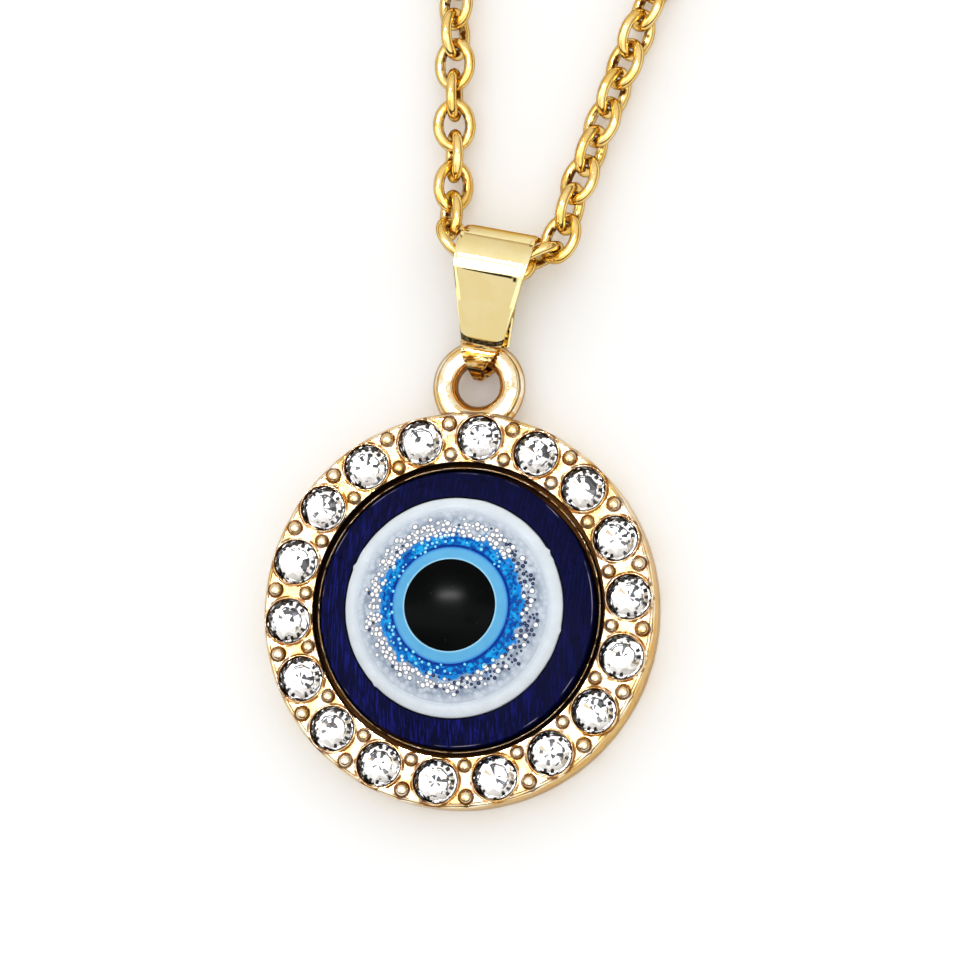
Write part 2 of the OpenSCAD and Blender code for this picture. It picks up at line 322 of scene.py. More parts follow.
class Shape:
    """Points in millimetres and the faces between them, kept until they become a piece."""

    def __init__(self):
        self.points = []
        self.faces = []
        self.kinds = []

    def row(self, points):
        start = len(self.points)
        self.points.extend(points)
        return range(start, len(self.points))

    def face(self, corners, kind=0):
        self.faces.append(tuple(corners))
        self.kinds.append(kind)

    def loft(self, rows, kind=0):
        """Faces between neighbouring rows. A row of one point closes the shape there."""
        laid = [self.row(points) for points in rows]
        for low, high in zip(laid, laid[1:]):
            count = max(len(low), len(high))
            for i in range(count):
                j = (i + 1) % count
                if len(low) == 1:
                    self.face((low[0], high[j], high[i]), kind)
                elif len(high) == 1:
                    self.face((low[i], low[j], high[0]), kind)
                else:
                    self.face((low[i], low[j], high[j], high[i]), kind)

    def made(self, name, finishes, sharp):
        """The finished piece. Edges past the angle sharp, in degrees, stay sharp."""
        mesh = bpy.data.meshes.new(name)
        mesh.from_pydata([Vector(point) * MM for point in self.points], [], self.faces)
        for finish in finishes:
            mesh.materials.append(finish)
        mesh.polygons.foreach_set("material_index", self.kinds)
        work = bmesh.new()
        work.from_mesh(mesh)
        bmesh.ops.remove_doubles(work, verts=work.verts, dist=WELD * MM)
        bmesh.ops.recalc_face_normals(work, faces=work.faces)
        work.to_mesh(mesh)
        work.free()
        mesh.shade_smooth()
        mesh.set_sharp_from_angle(angle=math.radians(sharp))
        return placed(name, mesh)


def polar(r, degrees, z, centre=(0, 0)):
    angle = math.radians(degrees)
    return (centre[0] + r * math.cos(angle), centre[1] + r * math.sin(angle), z)


def turned(profile, steps, centre=(0, 0)):
    """Rows of a shape turned round an upright axis; a point on the axis becomes a pole."""
    rows = []
    for r, z in profile:
        if r == 0:
            rows.append([(centre[0], centre[1], z)])
        else:
            rows.append([polar(r, 360 * i / steps, z, centre) for i in range(steps)])
    return rows


def arc(centre, r, start, end, count):
    """Points of an arc in a profile, in degrees."""
    angles = [math.radians(start + (end - start) * i / count) for i in range(count + 1)]
    return [(centre[0] + r * math.cos(a), centre[1] + r * math.sin(a)) for a in angles]


def stands_for(piece, slot, *nodes):
    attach(piece, "root")
    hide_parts(*nodes)


# Metals.
# Colours painted over the gold plate. Mostly painted shade and painted reflections in crevices, grooves and
# bends; the brown also marks small specks on the casting's side, and the amber random patches on the chain.
amber_shade_and_tone = tint(206, 144, 54)
brown_shade_and_specks = tint(88, 44, 5)
black_shade = tint(9, 7, 8)


def gold(name, painted_marks, colour, deep, edge, roughness, pits, wave):
    """Polished gold plate with patches, small pits and waves, under the painted shade and painted
    reflections that the marks function gives in brown, black and amber.
    """
    finish = Finish(name, Specular_Tint=edge)
    spot = finish.place()
    brown, black, amber = painted_marks(finish, spot)
    plate = finish.mix(finish.step(finish.speckle(0.9, spot, 3), 0.38, 0.64), colour, deep)
    # Painted shade and reflections: brown and amber over the plate, black over both.
    shaded_plate = finish.mix(brown, finish.mix(amber, plate, amber_shade_and_tone), brown_shade_and_specks)
    # Where brown or black shade is painted, the surface is less metal and rougher.
    painted_dark = brown.most(black)
    grain = finish.speckle(9, spot, 3)
    finish.wear(
        Base_Color=finish.mix(black, shaded_plate, black_shade), Metallic=1 - 0.95 * painted_dark,
        Roughness=roughness * (0.7 + 0.6 * grain) + 0.25 * painted_dark,
    )
    holes = finish.step(finish.speckle(5, spot, 1), 0.3, 0.24)
    finish.bump(finish.speckle(1.6, spot, 1) * wave - holes * pits, 1)
    return finish.material


def casting_shade_and_specks(finish, spot):
    """Painted shade and reflections on the casting: brown lines round the seats, collars and bead feet, by
    the outer rim, at the eyelet's hole, along its seam with the ring and on the lip; black in the groove;
    amber round the collars and beads and on the eyelet's inner wire. The dark specks on the side are the
    casting's own.
    """
    x, y, z = finish.parts(spot)
    r = length_of(x, y)
    sector = math.radians(2 * half_sector)
    turn = (y.math("ARCTAN2", x) - math.radians(stone_angle(0))) / sector
    wobble = finish.speckle(1.8, spot, 2)
    fine = finish.speckle(6, spot, 2)

    def reach(offset, ring_r):
        """Distance from the nearest place on a ring, whose places start offset sectors past stone 1."""
        angle = ((turn + (offset + 0.5)).math("FRACT") - 0.5) * sector
        return (r * r + ring_r ** 2 - 2 * ring_r * r * angle.math("COSINE")).most(0) ** 0.5

    # Painted shade: thin brown lines in the crevices round each seat and collar, and along the bevel of the
    # outer rim.
    from_stone = reach(0, stone_ring_r)
    seat_line = finish.line(from_stone, seat_r + 0.005, 0.038 + 0.03 * wobble)
    collar_foot = collar_r + 0.06
    collar_line = finish.line(from_stone, collar_foot, 0.04) * finish.step(wobble, 0.4, 0.54) * 0.85
    rim_line = finish.line(r, setting_r - 0.25 + 0.05 * wobble, 0.02 + 0.03 * fine)
    brown = seat_line.most(collar_line, rim_line * finish.step(wobble, 0.36, 0.5) * 0.85)
    # Painted shade: amber round the foot of each collar.
    amber = finish.line(from_stone, collar_foot, 0.13)
    for ring_r, half in ((outer_bead_ring, outer_bead_d / 2), (inner_bead_ring, inner_bead_d / 2)):
        # Painted shade: a brown line round each bead's foot, and amber round the bead.
        from_bead = reach(0.5, ring_r)
        foot = finish.line(from_bead, half * 1.03, 0.042 + 0.05 * fine)
        brown = brown.most(foot * (0.65 + 0.6 * wobble))
        amber = amber.most(finish.band(from_bead, half * 0.74, half * 1.35, 0.08))
    on_face = finish.step(z, setting_h - 0.3, setting_h - 0.22)

    # Painted shade and reflections on the eyelet: brown at the hole's edge, amber on the inner wire, and a
    # brown line where it meets the ring.
    from_hole = length_of(x, y - eyelet_y)
    hole_r = eyelet_hole / 2
    hole_edge = finish.band(from_hole, hole_r - 0.2, hole_r + 0.05, 0.1) * (0.3 + 0.6 * wobble)
    inner_wire = finish.band(from_hole, hole_r - 0.1, hole_r + 0.18, 0.15)
    by_eyelet = finish.step(y, eyelet_y - 2.2, eyelet_y - 2)
    seam = finish.line(r + 0.1 * wobble, setting_r + 0.14, 0.05) * by_eyelet
    # Dark specks on the side: the casting's own dimples.
    specks = finish.step(fine, 0.7, 0.76) * finish.step(z, 0.3, 0.6)

    # Painted shade: the groove is black, with a thin brown line on the lip.
    ragged = r + 0.09 * (fine - 0.5)
    groove = finish.band(ragged, cup_r - 0.5, face_in_r + 0.03, 0.02) * finish.step(z, 0.5, 0.7)
    lip = finish.line(ragged, (cup_r + lip_r) / 2, 0.03) * finish.step(wobble, 0.4, 0.5) * 0.85
    brown = (brown * on_face).most(specks * 0.8, hole_edge, seam * 0.8, lip)
    amber = amber * on_face * finish.step(wobble, 0.32, 0.72) * 0.6
    return brown, groove * (1 - lip), amber.most(inner_wire * 0.8)


def bail_reflections(finish, spot):
    """Painted reflections on the bail: a black line along the crease above the leaf, a dark band where the
    leaf bends away at its foot, and brown streaks and amber mottle on the curved hook. Also a small dark
    spot just below the crease and a dark line across the tip.
    """
    moved = finish.vector("ADD", spot, (0, -hook_y, 0))
    upright = finish.mapping(moved, Rotation=(0, 0, math.radians(bail_lean)))
    across, along, z = finish.parts(upright)
    front = finish.step(z, eyelet_z + 0.7, eyelet_z + 0.9)
    fine = finish.speckle(5, spot, 2)
    # Painted dark reflection along the crease.
    crease = finish.line(along, leaf_top - 0.06 + 0.04 * fine, 0.05 + 0.018 * across)
    crease = crease * finish.band(across, -1.3, 1.3, 0.35)
    drop = finish.line(along, leaf_top - 0.13, 0.12) * finish.line(across, 1.56, 0.095)
    # Painted dark reflection where the leaf bends away at its foot.
    foot = finish.band(along - 0.1 * across ** 4, leaf_foot - 0.36, leaf_foot - 0.08, 0.03)
    foot = foot * (0.88 + 0.12 * finish.step(fine, 0.4, 0.5))
    tip_line = finish.line(along, -0.93, 0.09) * finish.step(z, eyelet_z, eyelet_z + 0.2)
    # Painted reflections on the curved hook: brown streaks and amber mottle.
    stretched = finish.mapping(spot, Scale=(0.9, 3.2, 1))
    hook = finish.step(along, leaf_foot - 0.2, leaf_foot - 0.4)
    mottle = finish.step(finish.speckle(1.5, stretched, 3), 0.46, 0.56) * hook
    streaks = finish.step(finish.speckle(2.1, stretched, 2), 0.54, 0.6) * hook
    black = (crease.most(drop, foot) * front).most(tip_line)
    return streaks * 0.9, black, (0.35 + 0.65 * mottle) * hook


def chain_shade_and_patches(finish, spot):
    """Painted shade on the chain: brown on the inner side of each link, where the links pass through each
    other, and faint amber patches at random.
    """
    uneven = finish.speckle(2.5, spot, 2)
    # Painted shade on the inner side of each link.
    brown = finish.attribute("inner") * (0.2 + 0.9 * finish.step(uneven, 0.4, 0.6))
    return brown, 0.0, finish.step(uneven, 0.45, 0.62) * 0.12


def make_golds():
    """The casting's face and side, the bail's sheet and the chain's wire."""
    cast = {"colour": tint(252, 239, 210), "deep": tint(240, 206, 142), "pits": 0.012, "wave": 0.02}
    sheet = {"colour": tint(248, 233, 178), "deep": tint(246, 228, 167), "pits": 0.001, "wave": 0.002}
    wire = {"colour": tint(251, 220, 146), "deep": tint(244, 204, 112), "pits": 0.004, "wave": 0.006}
    return (
        gold("cast_gold", casting_shade_and_specks, edge=tint(140, 84, 20), roughness=0.08, **cast),
        gold("cast_gold_side", casting_shade_and_specks, edge=tint(236, 206, 150), roughness=0.1, **cast),
        gold("bail_gold", bail_reflections, edge=tint(190, 140, 60), roughness=0.04, **sheet),
        gold("chain_gold", chain_shade_and_patches, edge=tint(116, 62, 2), roughness=0.12, **wire),
    )


# The eye's resins.
def navy():
    """Dark blue with faint brushed streaks that lean right, and a painted highlight: a pale broken line
    along its rounded edge.
    """
    finish = Finish("navy_resin", Roughness=0.32, IOR=1.45, Specular_IOR_Level=0.04)
    r, spot = finish.from_eye()
    x, y = finish.parts(spot)[:2]
    brushed = finish.mapping(spot, Rotation=(0, 0, math.radians(15)), Scale=(6.5, 0.4, 1))
    streaks = finish.step(finish.speckle(1.5, brushed, 3, Roughness=0.55), 0.46, 0.66)
    lower_left = finish.step(x + y, 8, -8)
    blue = finish.mix(streaks * (0.15 + 0.5 * lower_left), tint(11, 14, 48), tint(30, 34, 136))
    dark = finish.step(finish.speckle(2.6, spot, 3), 0.56, 0.72) * 0.6
    blue = finish.mix(dark, blue, tint(5, 6, 32))
    ring = finish.line(r, white_out + 0.05, 0.035)
    blue = finish.mix(ring, blue, tint(4, 5, 14))
    # Painted highlight: a pale broken line along the dome's rounded edge.
    highlight_breaks = finish.step(finish.speckle(0.45, spot, 3), 0.5, 0.62)
    edge = finish.line(r, eye_r - 0.09, 0.022) * highlight_breaks * 0.8
    finish.wear(Base_Color=finish.mix(edge, blue, tint(150, 146, 160)))
    return finish.material


def white_enamel():
    finish = Finish("white_enamel", Roughness=0.35, IOR=1.45, Specular_IOR_Level=0.2)
    r, spot = finish.from_eye()
    cloud = finish.speckle(1.1, spot, 3)
    white = finish.mix(cloud, tint(202, 210, 216), tint(226, 234, 240))
    # Painted shade: bluish grey on the inner slope of the raised ring.
    inner = finish.step(r, field_out + 0.4, field_out) * 0.55
    finish.wear(Base_Color=finish.mix(inner, white, tint(176, 188, 202)))
    finish.bump(finish.speckle(2.2, spot, 2), 0.03)
    return finish.material


def glitter_resin():
    """Cool grey resin with paler and darker cells. Blue from the halo runs into its inner border."""
    finish = Finish("glitter_resin", Roughness=0.3, IOR=1.45, Specular_IOR_Level=0.15)
    r, spot = finish.from_eye()
    cloud = finish.speckle(1.5, spot, 3)
    grey = finish.mix(finish.step(cloud, 0.35, 0.65), tint(158, 170, 187), tint(196, 206, 217))
    cells = finish.cells(3.1, spot)
    grey = finish.mix(finish.step(cells, 0.34, 0.2) * 0.6, grey, tint(214, 223, 232))
    grey = finish.mix(finish.step(cells, 0.5, 0.66) * 0.6, grey, tint(118, 134, 154))
    grey = finish.mix(finish.step(r, field_out - 0.5, field_out - 0.1) * 0.6, grey, tint(206, 214, 224))
    ragged = r + 1.4 * finish.speckle(1.7, spot, 3)
    run = finish.step(ragged, halo_out + 1.02, halo_out + 0.86)
    finish.wear(Base_Color=finish.mix(run, grey, tint(6, 134, 218)))
    return finish.material


def blue_glitter():
    finish = Finish("blue_glitter", Roughness=0.25, IOR=1.45, Specular_IOR_Level=0.08)
    r, spot = finish.from_eye()
    cells = finish.step(finish.cells(3.4, spot), 0.2, 0.62)
    blue = finish.mix(cells, tint(8, 150, 228), tint(0, 76, 168))
    glow = finish.step(finish.speckle(2.1, spot, 2), 0.5, 0.64)
    blue = finish.mix(glow, blue, tint(30, 168, 236))
    finish.wear(Base_Color=finish.mix(finish.line(r, iris_out + 0.06, 0.1), blue, tint(0, 50, 142)))
    return finish.material


def sky_enamel():
    finish = Finish("sky_enamel", Roughness=0.3, IOR=1.45, Specular_IOR_Level=0.15)
    r, spot = finish.from_eye()
    cloud = finish.speckle(1.2, spot, 2)
    blue = finish.mix(cloud, tint(80, 160, 209), tint(104, 182, 225))
    pale_edge = finish.step(r, pupil_out + 0.14, pupil_out + 0.05)
    blue = finish.mix(pale_edge, blue, tint(160, 216, 244))
    deep_edge = finish.step(r, iris_out - 0.16, iris_out)
    finish.wear(Base_Color=finish.mix(deep_edge, blue, tint(46, 130, 212)))
    return finish.material


def black_enamel():
    finish = Finish("black_enamel", Roughness=0.22, IOR=1.5, Specular_IOR_Level=0.03)
    dust = finish.step(finish.speckle(5, finish.place(), 2), 0.72, 0.8)
    finish.wear(Base_Color=finish.mix(dust, tint(3, 4, 4), tint(60, 60, 64)))
    return finish.material


def flake_foil():
    """Foil flakes with painted glints and painted shade: silver ones painted pale, with a thin darker rim,
    for foil that catches the lamp; dark ones painted for foil that catches no light; blue ones in the halo.
    """
    finish = Finish("flake_foil", Roughness=0.3, IOR=1.45, Specular_IOR_Level=0.2)
    tone = finish.attribute("tone")
    edge = finish.attribute("edge")
    inside = finish.step(finish.from_eye()[0], halo_out + 0.12, halo_out - 0.02)
    bright = finish.mix(inside, tint(255, 255, 255), tint(134, 226, 252))
    rim = finish.mix(inside, tint(104, 108, 122), tint(0, 70, 164))
    silver = finish.mix(finish.step(edge, 0.7, 0.78), bright, rim)
    heart = finish.mix(inside, tint(70, 84, 128), tint(6, 96, 190))
    shadow = finish.mix(inside, tint(16, 26, 60), tint(0, 44, 136))
    dark = finish.mix(finish.step(edge, 0.35, 0.6), heart, shadow)
    finish.wear(Base_Color=finish.mix(finish.step(tone, 0.49, 0.51), silver, dark))
    return finish.material


def crystal_glass():
    finish = Finish("crystal", Base_Color=(1, 1, 1, 1), IOR=1.56, Transmission_Weight=1)
    finish.wear(Roughness=0.01 * finish.speckle(2, finish.place(), 1))
    return finish.material


def crystal_foil():
    """Silver foil behind a stone."""
    finish = Finish("crystal_foil", Metallic=1, Specular_Tint=(1, 1, 1, 1), Roughness=0.02)
    cloud = finish.speckle(1.4, finish.place(), 2)
    finish.wear(Base_Color=finish.mix(cloud, (0.9, 0.91, 0.94, 1), (1, 1, 1, 1)))
    return finish.material


def crystal_shadow(name, tone):
    """Painted shade: facets painted dark, as facets that throw the light back past the eye and so look
    dark.
    """
    finish = Finish(name, Roughness=0.6, Specular_IOR_Level=0)
    cloud = finish.speckle(1.4, finish.place(), 2)
    low, high = [(tone * share, tone * share, tone * blue, 1) for share, blue in ((0.2, 0.24), (1, 1.1))]
    finish.wear(Base_Color=finish.mix(cloud, low, high))
    return finish.material


# The setting: one face patch round each stone, joined to turned walls, with beads and the eyelet.
outer_steps = 24
side_steps = 14
inner_steps = 20
half_sector = 180 / stones_n
# Rows of a face patch: distances past the seat round the collar, then shares of the way to the border.
collar_rows = [0, 0.015, 0.035, 0.055, 0.075, 0.085, 0.095, 0.105, 0.115, 0.13]
face_rows = [0.08, 0.2, 0.34, 0.5, 0.66, 0.82, 1]
bead_sides = 22
bead_root = 0.3
eyelet_steps = 96
eyelet_sides = 28
cast_waves = 0.012
cast_seed = 7


def stone_angle(k):
    """Where stone k is in the ring, in degrees from +X."""
    return 90 - stones_turn - 2 * half_sector * k


def sector_edge():
    """Border of the face round one stone, as ring radius and angle from the stone, walked once round."""
    outer = [(setting_r, half_sector * (2 * i / outer_steps - 1)) for i in range(outer_steps)]
    across = setting_r - face_in_r
    down = [(setting_r - across * i / side_steps, half_sector) for i in range(side_steps)]
    inner = [(face_in_r, half_sector * (1 - 2 * i / inner_steps)) for i in range(inner_steps)]
    up = [(face_in_r + across * i / side_steps, -half_sector) for i in range(side_steps)]
    return outer + down + inner + up


def face_z(r):
    """Height of the bare face: flat, rounded down to the outer edge and to the groove."""
    outer = min(edge_bevel, max(0, r - (setting_r - edge_bevel)))
    inner = max(0, face_in_r + 0.05 - r)
    return setting_h - edge_bevel + math.sqrt(edge_bevel ** 2 - outer ** 2) - 0.4 * inner


def collar_z(reach, r):
    """Height of the face near a collar, reach being the distance from the stone's middle."""
    past = reach - seat_r
    if past > collar_wall + 0.03:
        return face_z(r)
    crest = setting_h + collar_rise - 0.05 * (1 - min(1, past / 0.04)) ** 2
    fall = min(1, max(0, (past - collar_wall + 0.035) / 0.06))
    ease = fall * fall * (3 - 2 * fall)
    return crest + (face_z(r) - 0.02 - crest) * ease


def face_patch(shape, turn):
    """The face round one stone: its blind seat, its collar and the plate as far as the border."""
    middle = Vector(polar(stone_ring_r, turn, 0))
    ways = [Vector(polar(r, turn + angle, 0)) - middle for r, angle in sector_edge()]
    rows = []
    spots = [(past, 0) for past in collar_rows] + [(collar_rows[-1], share) for share in face_rows]
    for past, share in spots:
        row = []
        for way in ways:
            start = seat_r + past
            reach = start + (way.length - start) * share
            spot = middle + way.normalized() * reach
            r = math.hypot(spot.x, spot.y)
            row.append((spot.x, spot.y, face_z(r) if share == 1 else collar_z(reach, r)))
        rows.append(row)
    floor_z = setting_h - seat_depth
    walls = [[(x, y, floor_z + (z - floor_z) * share) for x, y, z in rows[0]] for share in (0, 0.7)]
    shape.loft([[(middle.x, middle.y, floor_z)]] + walls + rows)


def setting_walls(shape):
    """The back and the outer wall, then the groove, the lip and the cup."""
    outside = [
        (0, 0), (setting_r * 0.5, 0), (setting_r - back_bevel, 0),
        (setting_r - back_bevel * 0.3, back_bevel * 0.22), (setting_r, back_bevel),
        (setting_r, setting_h - edge_bevel - 0.5), (setting_r, setting_h - edge_bevel),
    ]
    shape.loft(turned(outside, stones_n * outer_steps), kind=1)
    groove_z = setting_h - groove_depth
    inside = [
        (face_in_r, face_z(face_in_r)), (face_in_r, groove_z), (lip_r, groove_z), (lip_r, lip_z - 0.04),
        (lip_r - 0.03, lip_z), (cup_r + 0.03, lip_z), (cup_r, lip_z - 0.04), (cup_r, cup_floor),
        (0, cup_floor),
    ]
    shape.loft(turned(inside, stones_n * inner_steps))


def bead(shape, r, size, turn):
    """A ball sunk a little into the face."""
    half = size / 2
    low = setting_h - bead_sink
    root = polar(r, turn, low - bead_root)
    profile = [(half * 0.98, low - bead_root)] + arc((0, low), half, -10, 80, 8) + [(0, low + half)]
    shape.loft([[root]] + turned(profile, bead_sides, root))


def eyelet(shape):
    """A ring of round wire whose feet widen where they join the setting."""
    rows = []
    for i in range(eyelet_steps):
        angle = 360 * i / eyelet_steps
        foot = max(0, -math.sin(math.radians(angle)) - 0.35)
        thick = eyelet_wire / 2 * (1 + 0.16 * foot)
        section = arc((eyelet_r, eyelet_z), thick, 0, 360, eyelet_sides)[:-1]
        rows.append([polar(r, angle, z, (0, eyelet_y)) for r, z in section])
    shape.loft(rows + rows[:1])


def hand_cast(shape):
    """Soft unevenness of a casting, the same wherever two points meet."""
    noise.seed_set(cast_seed)
    for i, point in enumerate(shape.points):
        spot = Vector(point)
        if spot.z > 0.01:
            shape.points[i] = spot + cast_waves * noise.noise_vector(spot * 0.9)


def make_setting():
    shape = Shape()
    for k in range(stones_n):
        turn = stone_angle(k)
        face_patch(shape, turn)
        bead(shape, outer_bead_ring, outer_bead_d, turn - half_sector)
        bead(shape, inner_bead_ring, inner_bead_d, turn - half_sector)
    setting_walls(shape)
    eyelet(shape)
    hand_cast(shape)
    stands_for(shape.made("cast_setting", [cast_gold, side_gold], sharp=50), "cast_gold", "setting")


# The stones: a glass crown over a shallow foil, whose facets are painted dark in bars and triangles, as
# painted shade.
foil_rings = [0.97, 0.87, 0.64, 0.56, 0.5, 0.3, 0.07]
foil_dip = 0.17
foil_gap = 0.01
under_share, under_drop = 0.74, 0.04
bezel_rise = 0.62
waist_share, waist_drop = 0.54, 0.56
stone_sides = 32


def shades(dice, turn_by):
    """Finish of each facet of the foil, ring by ring from the girdle: 1 foil, 2 painted shadow, 3 painted
    grey shade.
    """
    light = dice.uniform(20, 75)
    kinds = []
    for ring in range(len(foil_rings)):
        row = []
        for i in range(stone_sides):
            facing = math.cos(math.radians(turn_by + 360 * (i + 0.5) / stone_sides - light))
            chance = dice.random()
            if i % 2 and ring > 3:
                row.append(row[-1])
            elif ring == 1:
                row.append(2 if i % 2 == 0 and chance < 0.68 else 1)
            elif ring == 2:
                row.append(3 if chance < 0.12 else 1)
            elif ring == 3:
                row.append(2 if facing > 0.1 and chance < 0.85 else 1)
            elif ring > 3:
                row.append(2 if chance < 0.12 + 0.24 * facing else 3 if chance > 0.93 else 1)
            else:
                row.append(1)
        kinds.append(row)
    return kinds


def make_stone(k, finishes, dice):
    turn_by = dice.uniform(0, 45)
    cx, cy, base = polar(stone_ring_r, stone_angle(k), setting_h)
    half = stone_d / 2
    shape = Shape()

    def corners(r, count, offset, z):
        return [polar(r, turn_by + 360 * (i + offset) / count, base + z, (cx, cy)) for i in range(count)]

    table = shape.row(corners(table_d / 2, 8, 0, girdle_h + crown_h))
    bezel = shape.row(corners((table_d + stone_d) / 4, 8, 0.5, girdle_h + crown_h * bezel_rise))
    girdle = shape.row(corners(half, stone_sides, 0, girdle_h))
    each = stone_sides // 8
    shape.face(table)
    for i in range(8):
        n = (i + 1) % 8
        edge = [girdle[(each * i + j) % stone_sides] for j in range(each + 1)]
        shape.face((table[i], bezel[i], table[n]))
        shape.face((table[n], bezel[i], edge[each], bezel[n]))
        shape.face((bezel[i], *edge[:each // 2 + 1]))
        shape.face((bezel[i], *edge[each // 2:]))
    pavilion = [(1, girdle_h), (1, 0), (waist_share, -pavilion_h * waist_drop)]
    sides = [corners(half * share, stone_sides, 0, z) for share, z in pavilion]
    shape.loft(sides + [[(cx, cy, base - pavilion_h)]], kind=1)

    rings = []
    for share in foil_rings:
        rings.append(shape.row(corners(half * share, stone_sides, 0, foil_dip * (share - 1) - foil_gap)))
    rings.append([shape.row([(cx, cy, base - foil_dip - foil_gap)])[0]] * stone_sides)
    for high, low, row in zip(rings, rings[1:], shades(dice, turn_by)):
        for i in range(stone_sides):
            n = (i + 1) % stone_sides
            inward = (low[i], low[n]) if low[i] != low[n] else (low[i],)
            shape.face((high[i], *inward, high[n]), row[i])
    under = shape.row(corners(half * under_share, stone_sides, 0, -foil_dip - under_drop))
    for i in range(stone_sides):
        n = (i + 1) % stone_sides
        shape.face((rings[0][i], rings[0][n], under[n], under[i]), 1)
    shape.face(under, 1)
    number = f"{k + 1:02d}"
    piece = shape.made("cut_stone_" + number, finishes, sharp=1)
    stands_for(piece, "crystal", "stone_" + number)


def make_stones():
    dark, grey = crystal_shadow("crystal_shadow", 0.05), crystal_shadow("crystal_grey", 0.3)
    finishes = [crystal_glass(), crystal_foil(), dark, grey]
    dice = random.Random(5)
    for k in range(stones_n):
        make_stone(k, finishes, dice)


# The eye: turned layers on one dome.
eye_steps = 256


def eye_turned(name, profile, finish, slot, node):
    shape = Shape()
    shape.loft(turned(profile, eye_steps, (eye_x, 0)))
    stands_for(shape.made(name, [finish], sharp=50), slot, node)


def dome_points(r_in, r_out, count):
    """Points of the dome's profile."""
    steps = [r_in + (r_out - r_in) * i / count for i in range(count + 1)]
    return [(r, dome_z(r)) for r in steps]


def dome_layer(r_in, r_out, floor_z):
    """Profile of a ring of the dome, closed underneath."""
    return [(r_in, floor_z)] + dome_points(r_in, r_out, 10) + [(r_out, floor_z), (r_in, floor_z)]


def make_eye_base(finish):
    edge = 0.1
    edge_z = dome_z(eye_r - edge)
    foot_z = cup_floor + layer_gap
    inner = white_out + layer_gap
    floor_z = pocket_z - layer_gap
    profile = [(0, floor_z), (inner, floor_z)] + dome_points(inner, eye_r - edge, 12)
    profile += [
        (eye_r - edge * 0.3, edge_z - edge * 0.3), (eye_r, edge_z - edge), (eye_r, foot_z), (0, foot_z),
    ]
    eye_turned("navy_dome", profile, finish, "navy_resin", "eye_base")


# Nicks in the white ring's outer edge: angle and length in degrees, and how far each stands out.
rim_nicks = [
    (161, 2.2, 0.1), (152, 5, 0.04), (34, 2.5, 0.12), (29, 2, 0.05), (-9, 2.4, 0.09), (-132, 2, 0.08),
    (78, 6, 0.03),
]
# The side of the eye where the flakes painted dark, as foil in shade, crowd.
dark_turn = math.radians(-22)


def rim_out(degrees):
    """Outer radius of the white ring, a little ragged."""
    angle = math.radians(degrees)
    wave = noise.noise(Vector((math.cos(angle) * 9, math.sin(angle) * 9, 3)))
    out = white_out + 0.02 * wave
    for at, length, stand in rim_nicks:
        away = (degrees - at + 180) % 360 - 180
        out += stand * max(0, 1 - abs(away) / length)
    return out


def make_white(finish):
    """The raised ring: rounded, a little lower beside its inner edge, and ragged at its outer edge."""
    steps = 720
    count = 14
    ring_in = field_out - 0.01
    crest = dome_z((ring_in + white_out) / 2) + rim_rise
    rows = []
    for i in range(steps):
        degrees = 360 * i / steps
        out = rim_out(degrees)
        section = [(ring_in, pocket_z)]
        for j in range(count + 1):
            share = j / count
            r = ring_in + (out - ring_in) * share
            lift = rim_rise * (1 - (2 * share - 1) ** 4) - 0.03 * math.exp(-((share - 0.4) / 0.12) ** 2)
            sink = 0.1 * max(0, 2 * share - 1.93) / 0.07
            section.append((r, min(crest, dome_z(r) + lift - sink)))
        section.append((out, pocket_z))
        rows.append([polar(r, degrees, z, (eye_x, 0)) for r, z in section])
    shape = Shape()
    shape.loft(rows + rows[:1])
    stands_for(shape.made("white_rim", [finish], sharp=60), "white_enamel", "eye_white")


def make_pupil(finish):
    top = apex_z + pupil_rise
    rise = top - dome_z(pupil_out)
    ball_r = (pupil_out ** 2 + rise ** 2) / (2 * rise)
    count = 16
    radii = [pupil_out * (1 - i / count) for i in range(count + 1)]
    cap = [(r, top - ball_r + math.sqrt(ball_r ** 2 - r ** 2)) for r in radii]
    profile = [(0, pocket_z), (pupil_out, pocket_z)] + cap
    eye_turned("black_pupil", profile, finish, "black_enamel", "eye_pupil")


def make_eye():
    make_eye_base(navy())
    make_white(white_enamel())
    layers = (
        ("grey_glitter_ring", halo_out, field_out, glitter_resin(), "glitter_resin", "eye_glitter"),
        ("blue_halo", iris_out, halo_out, blue_glitter(), "blue_glitter", "eye_halo"),
        ("sky_iris", iris_in, iris_out, sky_enamel(), "sky_enamel", "eye_iris"),
    )
    for name, r_in, r_out, finish, slot, node in layers:
        eye_turned(name, dome_layer(r_in, r_out, pocket_z), finish, slot, node)
    make_pupil(black_enamel())


